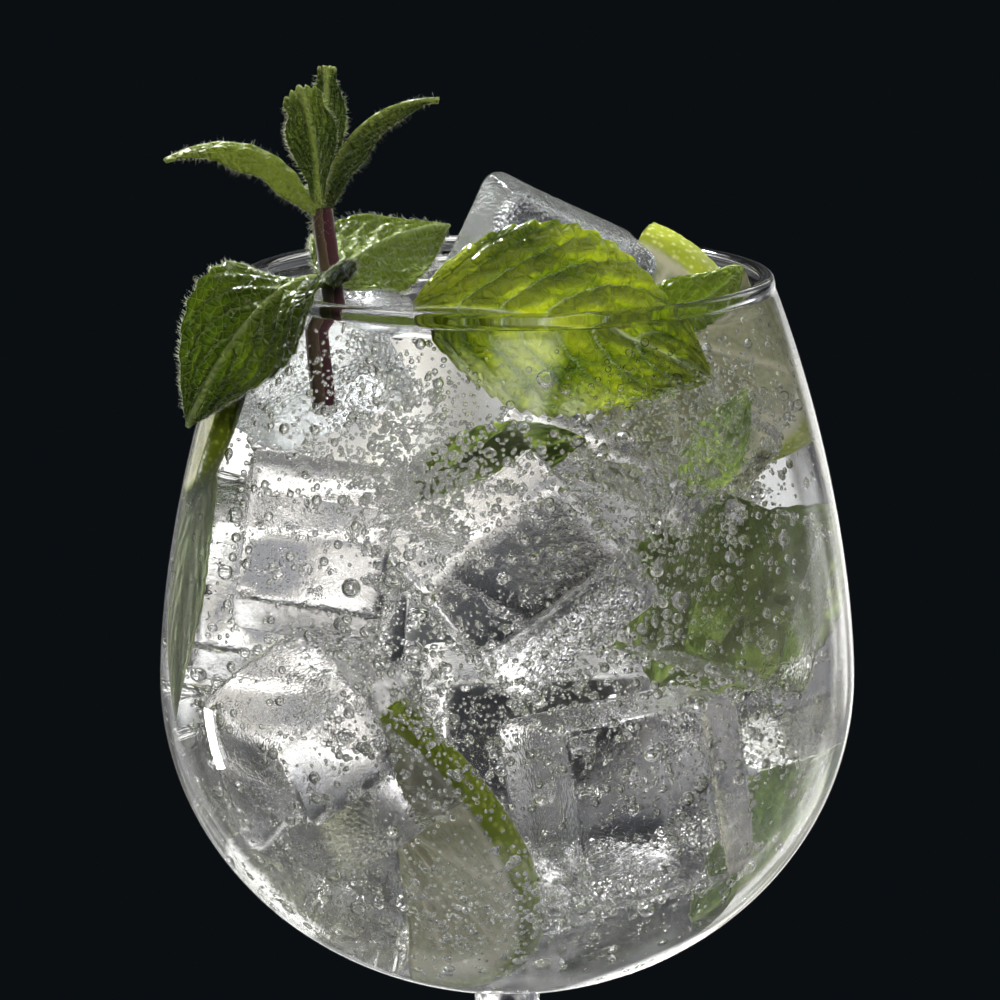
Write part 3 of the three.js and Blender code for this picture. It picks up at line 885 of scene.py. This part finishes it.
def lime_material(name, flesh, pith, skin):
    """Flesh and skin as two colours each, the skin's lighter one in its oil glands, partly painted
    glints where it is near white.
    """
    made = bpy.data.materials.new(name)
    graph = Graph(made)
    noise = graph.texture("Noise", 1400).outputs["Fac"]
    cells = graph.texture("Voronoi", 900).outputs["Distance"]
    pulp = graph.ramp(noise, ((0.3, flesh[0]), (0.7, flesh[1])))
    zest = graph.ramp(cells, ((0.1, skin[1]), (0.45, skin[0])))
    colour = graph.blend(graph.attribute("zest"), graph.blend(graph.attribute("pulp"), pith, pulp), zest)
    body = graph.principled(colour, 0.28, {"Normal": graph.bump(noise, 0.4, 0.0003)})
    graph.show(graph.mixed(0.35, body, graph.node("BsdfTranslucent", {"Color": colour}).outputs[0]))
    return made


def stem_material():
    """Partly its own colours, partly painted light and shade: brown on the left, where the lamps
    light it, dark red on the other side, with a pale painted highlight along one ridge.
    """
    made = bpy.data.materials.new("mint_stem")
    graph = Graph(made)
    noise = graph.texture("Noise", 700, {"Detail": 3}).outputs["Fac"]
    # Painted highlight: the pale stop at 0.27; the brown stops stand for the lit side
    colour = graph.ramp(graph.number("MULTIPLY_ADD", noise, 0.5, graph.attribute("across")), (
        (0.0, (0.060, 0.040, 0.027)), (0.22, (0.095, 0.064, 0.042)), (0.27, (0.20, 0.15, 0.12)),
        (0.33, (0.045, 0.017, 0.022)), (0.9, (0.070, 0.024, 0.034))))
    graph.show(graph.principled(colour, 0.4, {"Normal": graph.bump(noise, 0.5, 0.0003)}))
    return made


def floor_material():
    made = bpy.data.materials.new("floor")
    graph = Graph(made)
    noise = graph.texture("Noise", 60).outputs["Fac"]
    graph.show(graph.principled(graph.ramp(noise, ((0.3, 0.42), (0.7, 0.48))), 0.6))
    return made


glass_clear = clear_material("glass_clear", 1.5, (0.99, 1.0, 0.995), 20, 0.02)
drink_clear = clear_material("drink_clear", 1.333, (0.985, 0.99, 0.975), 60, 0.03)
ice_clear = clear_material("ice_clear", 1.31, (0.93, 0.96, 1.0), 110, 0.12, 0.12, 1.0)
# Sunk ice and bubbles lie inside the drink, so theirs are indices relative to it
sunk_clear = clear_material("sunk_ice_clear", 1.13, (0.92, 0.91, 0.915), 110, 0.2, 0.0, 0.3)
bubble_clear = clear_material("bubble_clear", 0.75, (1.0, 1.0, 1.0), 500, 0.02)
mint_leafy = mint_material(
    "mint_leaf", dark=(0.038, 0.072, 0.004), light=(0.15, 0.215, 0.022), vein=(0.34, 0.42, 0.13),
    glow=(2.4, 2.2, 0.25), wet=0.27, quilt=1.0, net=0.3, sheen=0.12)
mint_tips = mint_material(
    "mint_leaf_young", dark=(0.040, 0.072, 0.010), light=(0.25, 0.32, 0.05), vein=(0.36, 0.43, 0.12),
    glow=(1.7, 1.6, 0.2), wet=0.38, quilt=1.0, net=0.2, cell=900, sheen=0.2)
mint_pale = mint_material(
    "mint_leaf_under", dark=(0.065, 0.115, 0.012), light=(0.28, 0.34, 0.05), vein=(0.74, 0.77, 0.60),
    glow=(2.9, 2.6, 0.7), wet=0.10, quilt=1.0, net=0.12, through=0.5, sheen=0.0)
# Painted haze: paler, greyer greens for the leaves in the drink, standing in for light scattered in front
# of them
mint_sunk_painted_haze = mint_material(
    "mint_leaf_sunk", dark=(0.14, 0.185, 0.085), light=(0.33, 0.38, 0.20), vein=(0.44, 0.48, 0.28),
    glow=(1.8, 1.8, 1.5), wet=0.5, net=0.1, through=0.6, cell=400)
hair_pale = mint_material(
    "mint_hair", dark=(0.55, 0.58, 0.45), light=(0.75, 0.78, 0.62), vein=(0.8, 0.8, 0.7),
    glow=(1.2, 1.2, 1.0), wet=0.5)
# The skin's lighter colour is near white: partly the oil glands' own colour, partly painted glints
lime_cut = lime_material(
    "lime", flesh=((0.42, 0.44, 0.28), (0.64, 0.63, 0.48)), pith=(0.84, 0.80, 0.68),
    skin=((0.50, 0.58, 0.06), (0.86, 0.88, 0.42)))
# Painted shade: a darker copy of the lime for the slices in the drink
lime_painted_shade = lime_material(
    "lime_sunk", flesh=((0.30, 0.31, 0.17), (0.50, 0.49, 0.33)), pith=(0.60, 0.57, 0.42),
    skin=((0.20, 0.27, 0.015), (0.44, 0.48, 0.08)))
stem_dark = stem_material()

# Pieces

points, faces = lathe(glass_profile(), GLASS_SIDES)
piece("wine_glass", points, faces, glass_clear, ["glass"])
points, faces = drink_mesh()
piece("drink_body", points, faces, drink_clear, ["drink"], shadow=False)

points, faces = ice_mesh(TOP_CUBE, ICE_CORNER, 11, 40)
piece("ice_top", points, faces, ice_clear, ["ice_cube_top"], shadow=False)
points, faces = ice_mesh(SIDE_CUBE, ICE_CORNER, 12, 30)
piece("ice_side", points, faces, ice_clear, ["ice_cube_side"], shadow=False)
parts = [(*ice_mesh(cube, SUNK_CORNER, 20 + k, 18), {}) for k, cube in enumerate(SUNK_CUBES)]
points, faces, _ = joined(parts)
piece("ice_sunk", points, faces, sunk_clear, shadow=False)

points, faces, value = lime_mesh(LIME_RADIUS, LIME_THICKNESS, LIME_AT, LIME_FACE, LIME_CUT)
piece("lime_half", points, faces, lime_cut, ["lime_half_slice"], value)
parts = [lime_mesh(*sunk, rings=20, turns=90) for sunk in SUNK_LIMES]
points, faces, value = joined(parts)
piece("lime_sunk", points, faces, lime_painted_shade, (), value)

points, faces, value = joined([leaf_mesh(leaf, 90, 20) for leaf in TOP_LEAVES])
piece("sprig_tips", points, faces, mint_tips, ["mint_sprig"], value)
points, faces, value = joined([leaf_mesh(leaf, 120, 28) for leaf in (RIM_LEAF, BACK_LEAF)])
piece("sprig_leaves", points, faces, mint_leafy, ["mint_sprig"], value)
points, faces, value = stem_mesh()
piece("sprig_stem", points, faces, stem_dark, ["mint_sprig"], value)
points, faces, value = leaf_mesh(FRONT_LEAF, 130, 40)
piece("leaf_front", points, faces, mint_pale, ["mint_leaf_front"], value)
points, faces, value = leaf_mesh(RIGHT_LEAF, 90, 20)
piece("leaf_right", points, faces, mint_leafy, ["mint_leaf_right"], value)
points, faces, value = joined([leaf_mesh(leaf, 70, 18) for leaf in SUNK_LEAVES])
piece("leaves_sunk", points, faces, mint_sunk_painted_haze, (), value)
points, faces = hair_mesh((*TOP_LEAVES, RIM_LEAF, BACK_LEAF))
steady = np.zeros(len(points))
piece("sprig_hairs", points, faces, hair_pale, (), {"vein": steady, "tone_and_painted_light": steady + 0.5})
for kind in BUBBLES:
    bubble_piece(kind)

# Floor, light and camera

bpy.ops.mesh.primitive_circle_add(
    vertices=96, radius=FLOOR_RADIUS, fill_type="NGON", location=(0, 0, -0.0003))
floor = bpy.context.object
floor.name = "floor"
floor.data.materials.append(floor_material())


def added_light(name, kind, at, aim, power, colour=(1, 1, 1), mirrored=True):
    """A light aimed at a point, seen by the camera never and in reflections only if mirrored."""
    data = bpy.data.lights.new(name, kind)
    data.energy = power
    data.color = colour
    made = bpy.data.objects.new(name, data)
    bpy.context.scene.collection.objects.link(made)
    made.location = at
    made.rotation_euler = (Vector(aim) - Vector(at)).to_track_quat("-Z", "Y").to_euler()
    made.visible_camera = False
    made.visible_glossy = mirrored
    made.visible_transmission = mirrored
    return data


def spot_light(name, at, aim, radius, cone, power, colour=(1, 1, 1), mirrored=True):
    data = added_light(name, "SPOT", at, aim, power, colour, mirrored)
    data.shadow_soft_size = radius
    data.spot_size = math.radians(cone)
    data.spot_blend = 0.3


key_left = added_light("key_left", "AREA", (-0.73, 0.30, -0.12), (0, 0, 0.15), 2.6)
key_left.shape = "RECTANGLE"
key_left.size, key_left.size_y = 0.07, 0.17
spot_light("key_back", (-0.30, 0.55, 0.75), (-0.006, -0.012, 0.203), 0.13, 10, 370)
spot_light("fill_front", (0.25, -0.80, 0.75), (0, 0, 0.2), 0.25, 15, 115, (1, 0.98, 0.95), False)


def studio_world():
    """Dark as the camera sees it, and for all other rays pale below, dim above, with three lamps."""
    made = bpy.data.worlds.new("room")
    graph = Graph(made)
    toward = graph.node("TexCoord").outputs["Generated"]
    x, y, z = graph.node("SeparateXYZ", {0: toward}).outputs
    pitch = math.radians(CAMERA_PITCH)
    ahead = graph.number(
        "ADD", graph.number("MULTIPLY", y, math.cos(pitch)), graph.number("MULTIPLY", z, -math.sin(pitch)))
    half_ahead, half_x, half_z = [graph.number("MULTIPLY_ADD", way, 0.5, 0.5) for way in (ahead, x, z)]
    round_view = graph.ramp(half_ahead, (
        (0.0, 0.06), (0.45, 0.12), (0.62, 0.5), (0.86, 1.0), (0.99, 0.92), (0.9965, (0.05, 0.055, 0.065))))
    sides = graph.ramp(half_x, (
        (0.0, (0.95, 0.96, 0.98)), (0.4, (0.85, 0.86, 0.88)), (0.6, 0.85), (1.0, (0.95, 0.94, 0.92))))
    low_sides = graph.ramp(half_x, (
        (0.0, (0.42, 0.42, 0.43)), (0.44, 0.34), (0.58, (1.2, 1.19, 1.16)),
        (0.82, (0.9, 0.89, 0.87)), (1.0, (0.75, 0.74, 0.73))))
    low = graph.ramp(half_z, ((0.0, 0.4), (0.2, 1.2), (0.42, 1.0), (0.49, 0.0)))
    high = graph.ramp(half_z, (
        (0.42, 0.0), (0.48, (0.34, 0.35, 0.37)), (0.53, (0.09, 0.095, 0.10)), (0.8, (0.10, 0.10, 0.105))))
    noise = graph.texture("Noise", 4.5, place="Generated").outputs["Fac"]
    patches = graph.ramp(noise, (
        (0.38, (0.30, 0.31, 0.34)), (0.47, (0.58, 0.56, 0.53)), (0.53, 0.8), (0.62, 1.6)))
    lit = graph.plus(graph.times(low, low_sides), graph.times(high, sides))
    seen = graph.times(graph.times(round_view, patches), lit)
    for way, strength in WORLD_LAMPS:
        near = graph.node("VectorMath", {0: toward, 1: Vector(way).normalized()})
        near.operation = "DOT_PRODUCT"
        seen = graph.plus(seen, graph.ramp(near.outputs["Value"], ((0.96, 0.0), (0.982, strength))))
    glow = graph.node("Background", {"Color": seen, "Strength": WORLD_STRENGTH}).outputs[0]
    dark = graph.node("Background", {"Color": BACKDROP}).outputs[0]
    graph.show(graph.mixed(graph.node("LightPath").outputs["Is Camera Ray"], glow, dark), "World")
    return made


bpy.context.scene.world = studio_world()

scene = bpy.context.scene
camera_data = bpy.data.cameras.new("camera")
camera_data.lens = CAMERA_LENS
camera_data.sensor_width = 36
camera_data.clip_start = 0.02
camera = bpy.data.objects.new("camera", camera_data)
camera.location = CAMERA_AT
camera.rotation_euler = (math.radians(90 - CAMERA_PITCH), 0, 0)
scene.collection.objects.link(camera)
scene.camera = camera

cycles = scene.cycles
cycles.max_bounces = 24
cycles.transmission_bounces = 24
cycles.glossy_bounces = 12
cycles.diffuse_bounces = 3
cycles.transparent_max_bounces = 64
cycles.caustics_reflective = False
cycles.caustics_refractive = False
cycles.sample_clamp_indirect = 6
cycles.use_denoising = True
cycles.use_adaptive_sampling = True
cycles.adaptive_threshold = 0.16
cycles.adaptive_min_samples = 12
scene.view_settings.view_transform = "Standard"
